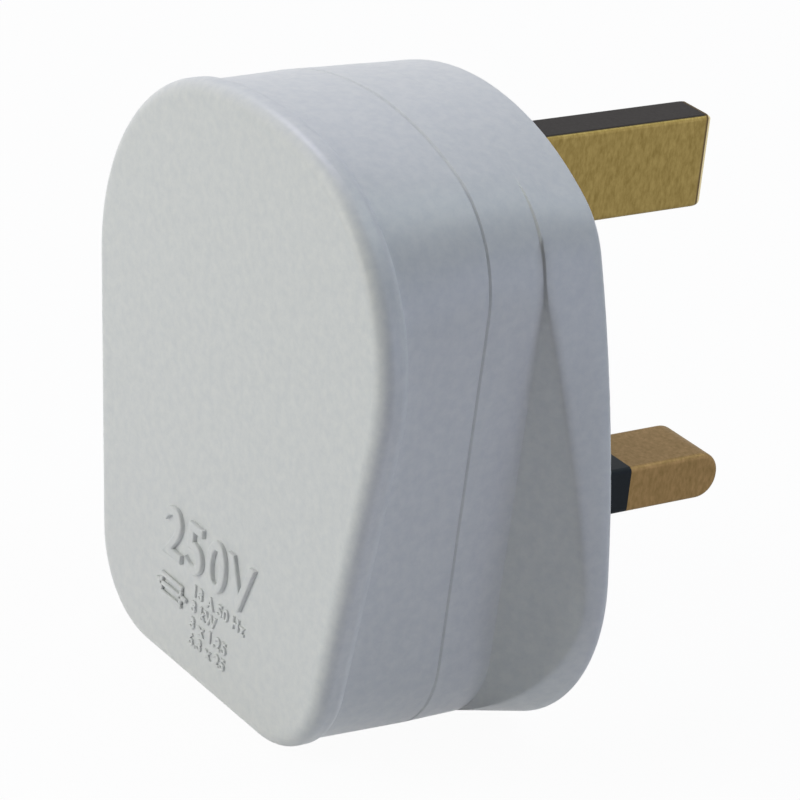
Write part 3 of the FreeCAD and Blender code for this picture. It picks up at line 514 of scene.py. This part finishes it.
# The same bar stock, evenly dull and browner
LIVE_BRASS = DrawnBrass("drawn_brass", "#907650", 0.58, patch="#7c6640")
# Deep blue black with a soft sheen
SLEEVE_NYLON = Grained("moulded_black_nylon", "#1b2228", 0.5, shade="#12181d", specular=0.12)
# Bright grey with a soft mirror
SCREW_STEEL = Grained("zinc_plated_steel", "#b9bab6", 0.3, shade="#a2a3a0", metallic=1.0, grain_mm=0.15)
# Yellow metal, cleaner than the pins
TERMINAL_BRASS = Grained("turned_brass", "#c7a862", 0.32, shade="#b09350", metallic=1.0)
# Redder than brass
CLIP_BRONZE = Grained("pressed_spring_bronze", "#b98a5c", 0.34, shade="#a2774d", metallic=1.0)
# Matt red brown with a felted grain
FIBRE = Grained("pressed_red_fibre", "#7a4331", 0.7, shade="#64362a", grain_mm=0.4)
# Chalky off-white
FUSE_CERAMIC = Grained("unglazed_ceramic", "#ddd6c8", 0.75, shade="#cfc7b7", grain_mm=0.25)
# Bright silver
FUSE_CAP = Grained("nickel_plated_brass", "#c9c6bd", 0.22, shade="#bdb9af", metallic=1.0, grain_mm=0.2)
# Grey wire
FUSE_WIRE = Grained("tinned_copper_wire", "#b4b0aa", 0.4, shade="#9f9b95", metallic=1.0, grain_mm=0.1)


def dress(names: Iterable[str], finish: Finish) -> None:
    """Give CAD nodes a finish.

    Args:
        names: the nodes that share it.
        finish: what they are made of.
    """
    material = finish.build()
    for name in names:
        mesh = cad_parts[name].data
        mesh.materials.clear()
        mesh.materials.append(material)
        log.info("dressed %s in %s", name, finish.name)


def select_only(*pieces: bpy.types.Object) -> None:
    """Select these objects and nothing else, the last of them active."""
    if bpy.context.object and bpy.context.object.mode != "OBJECT":
        bpy.ops.object.mode_set(mode="OBJECT")
    bpy.ops.object.select_all(action="DESELECT")
    for piece in pieces:
        piece.select_set(True)
        bpy.context.view_layer.objects.active = piece


@dataclass(frozen=True)
class Lettering:
    """Raised lettering on a moulding."""

    name: str
    rows: Tuple[str, ...]
    height_mm: float
    width_mm: float
    middle_mm: Tuple[float, float]
    raise_mm: float
    edge_mm: float
    spacing: float = 1.1

    # Height of a capital letter as a share of the font's size
    CAPITAL_SHARE: ClassVar[float] = 0.69
    # How far the rounding of an edge is set into the stroke, as a share of its size
    INSET_SHARE: ClassVar[float] = 0.3
    # Steps of an edge's rounding
    EDGE_STEPS: ClassVar[int] = 3

    def build(self) -> bpy.types.Object:
        """Model the letters flat, with their middle at the origin.

        Returns:
            A mesh that stands up from the XY plane, with softened edges.
        """
        bpy.ops.object.select_all(action="DESELECT")
        bpy.ops.object.text_add()
        piece = bpy.context.object
        piece.name = self.name
        text = piece.data
        text.body = "\n".join(self.rows)
        text.align_x = "LEFT"
        text.size = self.height_mm * MM / self.CAPITAL_SHARE
        text.space_character = self.spacing
        text.extrude = (self.raise_mm - self.edge_mm) * MM
        text.bevel_depth = self.edge_mm * MM
        text.bevel_resolution = self.EDGE_STEPS
        text.offset = -self.INSET_SHARE * self.edge_mm * MM
        select_only(piece)
        bpy.ops.object.convert(target="MESH")
        bpy.ops.object.origin_set(type="ORIGIN_GEOMETRY", center="BOUNDS")
        piece.location = (0.0, 0.0, 0.0)
        piece.scale.x = self.width_mm * MM / piece.dimensions.x
        bpy.ops.object.transform_apply(location=True, rotation=True, scale=True)
        return piece


@dataclass
class Housing:
    """The two mouldings, base and cover, with the marking on the cover's face."""

    letterings: Tuple[Lettering, ...] = (
        Lettering(
            "voltage_mark",
            ("250V",),
            height_mm=4.2,
            width_mm=13.6,
            middle_mm=(0.3, -7.2),
            raise_mm=0.38,
            edge_mm=0.17,
        ),
        Lettering(
            "rating_rows",
            ("13 A 50 Hz", "3 kW", "3 x 1.25", "6.3 x 25"),
            height_mm=1.0,
            width_mm=8.0,
            middle_mm=(2.2, -12.9),
            raise_mm=0.18,
            edge_mm=0.07,
        ),
    )
    symbol_middle_mm: Tuple[float, float] = (-4.9, -12.2)
    symbol_width_mm: float = 3.0
    symbol_height_mm: float = 1.6
    symbol_lead_mm: float = 0.9
    stroke_mm: float = 0.42
    raise_mm: float = 0.28
    edge_mm: float = 0.12
    edge_steps: int = 3
    smooth_deg: float = 40.0
    mouldings: Tuple[str, ...] = ("base_housing", "cover_housing")

    def face(self) -> float:
        """Place of the cover's front face along Y, in metres."""
        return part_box("cover_housing")[0].y

    def seat(self, piece: bpy.types.Object, middle_mm: Tuple[float, float]) -> None:
        """Stand a flat piece, drawn in the XY plane, on the cover's front face.

        Args:
            piece: mesh object whose own front is +Z.
            middle_mm: where its middle goes on the face, across and up.
        """
        across, up = middle_mm
        piece.rotation_euler = (math.radians(90), 0.0, 0.0)
        piece.location = (across * MM, self.face(), up * MM)
        select_only(piece)
        bpy.ops.object.transform_apply(location=True, rotation=True, scale=True)
        bpy.ops.object.shade_smooth_by_angle(angle=math.radians(self.smooth_deg))
        piece.data.materials.clear()
        piece.data.materials.append(bpy.data.materials[WHITE_UREA.name])
        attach(piece, BODY)
        log.info("raised %s on the cover", piece.name)

    def symbol(self) -> bpy.types.Object:
        """Model the sign for a fuse: a bar across a frame.

        Returns:
            A mesh that stands up from the XY plane, with softened edges.
        """
        half_width = self.symbol_width_mm / 2
        half_height = self.symbol_height_mm / 2
        reach = half_width + self.symbol_lead_mm
        half_stroke = self.stroke_mm / 2
        strips = (
            ((0.0, half_height), (half_width + half_stroke, half_stroke)),
            ((0.0, -half_height), (half_width + half_stroke, half_stroke)),
            ((half_width, 0.0), (half_stroke, half_height - half_stroke)),
            ((-half_width, 0.0), (half_stroke, half_height - half_stroke)),
            ((0.0, 0.0), (reach, half_stroke)),
        )
        made = []
        for (across, up), (half_across, half_up) in strips:
            bpy.ops.object.select_all(action="DESELECT")
            bpy.ops.mesh.primitive_plane_add(size=2.0)
            strip = bpy.context.object
            strip.scale = (half_across * MM, half_up * MM, 1.0)
            strip.location = (across * MM, up * MM, 0.0)
            bpy.ops.object.transform_apply(location=True, rotation=True, scale=True)
            made.append(strip)
        select_only(*made)
        bpy.ops.object.join()
        piece = bpy.context.object
        piece.name = "fuse_symbol"
        bpy.ops.object.mode_set(mode="EDIT")
        bpy.ops.mesh.select_all(action="SELECT")
        lift = (0.0, 0.0, self.raise_mm * MM)
        bpy.ops.mesh.extrude_region_move(TRANSFORM_OT_translate={"value": lift})
        bpy.ops.mesh.select_all(action="SELECT")
        bpy.ops.mesh.normals_make_consistent(inside=False)
        bpy.ops.object.mode_set(mode="OBJECT")
        bevel = piece.modifiers.new("round", "BEVEL")
        bevel.width = self.edge_mm * MM
        bevel.segments = self.edge_steps
        bpy.ops.object.modifier_apply(modifier=bevel.name)
        return piece

    def build(self) -> None:
        """Dress the mouldings and raise the marking."""
        dress(self.mouldings, WHITE_UREA)
        for lettering in self.letterings:
            self.seat(lettering.build(), lettering.middle_mm)
        self.seat(self.symbol(), self.symbol_middle_mm)


@dataclass
class Pins:
    """The three pins and the sleeves of the live ones."""

    earth: Tuple[str, ...] = ("earth_pin",)
    live: Tuple[str, ...] = ("line_pin", "neutral_pin")
    sleeves: Tuple[str, ...] = ("line_pin_sleeve", "neutral_pin_sleeve")

    def build(self) -> None:
        """Dress the pins and the sleeves."""
        dress(self.earth, EARTH_BRASS)
        dress(self.live, LIVE_BRASS)
        dress(self.sleeves, SLEEVE_NYLON)


@dataclass
class Inside:
    """Fuse, clips, terminals, screws and cord grip."""

    turned: Tuple[str, ...] = ("line_terminal", "cover_screw_insert")
    clips: Tuple[str, ...] = ("line_pin_fuse_clip", "line_terminal_fuse_clip")
    fuse_body: Tuple[str, ...] = ("fuse_tube",)
    fuse_caps: Tuple[str, ...] = ("fuse_lower_cap", "fuse_upper_cap")
    fuse_element: Tuple[str, ...] = ("fuse_wire",)
    fibre: Tuple[str, ...] = ("cord_grip_bar", "cover_screw_washer")
    screws: Tuple[str, ...] = (
        "earth_terminal_screw",
        "neutral_terminal_screw",
        "line_terminal_screw",
        "cover_screw",
        "cord_grip_screw_left",
        "cord_grip_screw_right",
    )

    def build(self) -> None:
        """Dress everything that the housing covers, and the cover screw."""
        dress(self.turned, TERMINAL_BRASS)
        dress(self.clips, CLIP_BRONZE)
        dress(self.fuse_body, FUSE_CERAMIC)
        dress(self.fuse_caps, FUSE_CAP)
        dress(self.fuse_element, FUSE_WIRE)
        dress(self.fibre, FIBRE)
        dress(self.screws, SCREW_STEEL)


@dataclass
class Lamp:
    """One soft lamp of the studio."""

    name: str
    azimuth_deg: float
    elevation_deg: float
    power: float
    colour: str
    size_mm: float = 260.0

    def build(self, target: Vector, reach_mm: float) -> None:
        """Hang the lamp and point it.

        Args:
            target: the point that it shines at.
            reach_mm: how far from that point it hangs.
        """
        away = direction(self.azimuth_deg, self.elevation_deg)
        light = bpy.data.lights.new(self.name, "AREA")
        light.shape = "SQUARE"
        light.size = self.size_mm * MM
        light.energy = self.power
        light.color = linear(self.colour)[:3]
        lamp = bpy.data.objects.new(self.name, light)
        lamp.location = target + away * reach_mm * MM
        lamp.rotation_euler = (-away).to_track_quat("-Z", "Y").to_euler()
        bpy.context.scene.collection.objects.link(lamp)


@dataclass
class Studio:
    """White floor, pale surroundings and soft lamps."""

    floor_mm: float = 3000.0
    floor_colour: str = "#f2f2f2"
    floor_glow: float = 0.96
    sky_colour: str = "#e9f0f6"
    sky_strength: float = 0.01
    reach_mm: float = 600.0
    lamps: Tuple[Lamp, ...] = (
        Lamp("front_lamp", -20.0, 12.0, 1.1, "#fdfff8"),
        Lamp("key_lamp", -22.0, 40.0, 0.75, "#fdfff9"),
        Lamp("left_lamp", -100.0, 60.0, 1.28, "#ebe8ff"),
        Lamp("rear_lamp", 150.0, 60.0, 0.8, "#ecfeff"),
        Lamp("side_lamp", 120.0, 12.0, 0.46, "#d5d8ff"),
    )

    def seen_directly(self, tree: bpy.types.NodeTree) -> bpy.types.NodeSocket:
        """Mask of the rays that show the background.

        Args:
            tree: node tree that gets the nodes.

        Returns:
            A socket that is 1 for camera, glossy and transmission rays.
        """
        path = add_node(tree, "ShaderNodeLightPath")
        most = {"operation": "MAXIMUM"}
        mirrored = add_node(
            tree,
            "ShaderNodeMath",
            settings=most,
            inputs={0: path.outputs["Is Glossy Ray"], 1: path.outputs["Is Transmission Ray"]},
        )
        shown = add_node(
            tree,
            "ShaderNodeMath",
            settings=most,
            inputs={0: path.outputs["Is Camera Ray"], 1: mirrored.outputs["Value"]},
        )
        return shown.outputs["Value"]

    def floor(self) -> None:
        """Lay the floor under the foot, white where it is seen, with a soft shadow."""
        bpy.ops.mesh.primitive_plane_add(size=self.floor_mm * MM)
        floor = bpy.context.object
        floor.name = "floor"
        floor.location.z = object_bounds()[0].z
        material = bpy.data.materials.new("matt_white_paper")
        material.use_nodes = True
        tree = material.node_tree
        tree.nodes.clear()
        matt = add_node(tree, "ShaderNodeBsdfDiffuse", inputs={"Color": linear(self.floor_colour)})
        glow = add_node(tree, "ShaderNodeEmission", inputs={"Color": linear(WHITE), "Strength": 1.0})
        share = add_node(
            tree,
            "ShaderNodeMath",
            settings={"operation": "MULTIPLY"},
            inputs={0: self.seen_directly(tree), 1: self.floor_glow},
        )
        mix = add_node(
            tree,
            "ShaderNodeMixShader",
            inputs={0: share.outputs["Value"], 1: matt.outputs["BSDF"], 2: glow.outputs["Emission"]},
        )
        add_node(tree, "ShaderNodeOutputMaterial", inputs={"Surface": mix.outputs["Shader"]})
        floor.data.materials.append(material)
        floor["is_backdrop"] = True

    def sky(self) -> None:
        """Surround the plug with a pale glow that is white where it is seen."""
        world = bpy.data.worlds.new("studio")
        world.use_nodes = True
        tree = world.node_tree
        tree.nodes.clear()
        soft = add_node(
            tree,
            "ShaderNodeBackground",
            inputs={"Color": linear(self.sky_colour), "Strength": self.sky_strength},
        )
        white = add_node(tree, "ShaderNodeBackground", inputs={"Color": linear(WHITE), "Strength": 1.0})
        mix = add_node(
            tree,
            "ShaderNodeMixShader",
            inputs={
                0: self.seen_directly(tree),
                1: soft.outputs["Background"],
                2: white.outputs["Background"],
            },
        )
        add_node(tree, "ShaderNodeOutputWorld", inputs={"Surface": mix.outputs["Shader"]})
        bpy.context.scene.world = world

    def build(self) -> None:
        """Lay the floor, light the surroundings and hang the lamps."""
        self.floor()
        self.sky()
        low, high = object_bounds()
        for lamp in self.lamps:
            lamp.build((low + high) / 2, self.reach_mm)
            log.info("hung %s", lamp.name)


@dataclass
class PhotoCamera:
    """The camera that saw the plug, fitted to the edges of its pins and outlines."""

    azimuth_deg: float = 53.976
    elevation_deg: float = 23.616
    roll_deg: float = 6.378
    distance_mm: float = 329.571
    pan_mm: float = -3.419
    rise_mm: float = 3.005
    sensor_mm: float = 36.0
    lens_mm: float = 181.017
    nearest_mm: float = 10.0

    def build(self) -> None:
        """Set the camera up and make it the scene's own."""
        azimuth = math.radians(self.azimuth_deg)
        roll = math.radians(self.roll_deg)
        back = direction(self.azimuth_deg, self.elevation_deg)
        level = Vector((math.cos(azimuth), math.sin(azimuth), 0.0))
        plumb = back.cross(level)
        right = level * math.cos(roll) + plumb * math.sin(roll)
        up = plumb * math.cos(roll) - level * math.sin(roll)
        place = back * self.distance_mm + right * self.pan_mm + up * self.rise_mm
        data = bpy.data.cameras.new("photo_camera")
        data.sensor_width = self.sensor_mm
        data.lens = self.lens_mm
        data.clip_start = self.nearest_mm * MM
        camera = bpy.data.objects.new("photo_camera", data)
        turn = Matrix((right, up, back)).transposed().to_4x4()
        camera.matrix_world = Matrix.Translation(place * MM) @ turn
        bpy.context.scene.collection.objects.link(camera)
        bpy.context.scene.camera = camera


def main() -> None:
    """Dress the plug, light it and set the camera."""
    logging.basicConfig(level=logging.INFO)
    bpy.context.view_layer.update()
    bpy.ops.object.select_all(action="DESELECT")
    for assembly in (Housing(), Pins(), Inside(), Studio(), PhotoCamera()):
        assembly.build()
    bpy.context.scene.view_settings.view_transform = "Standard"


if __name__ == "__main__":
    main()
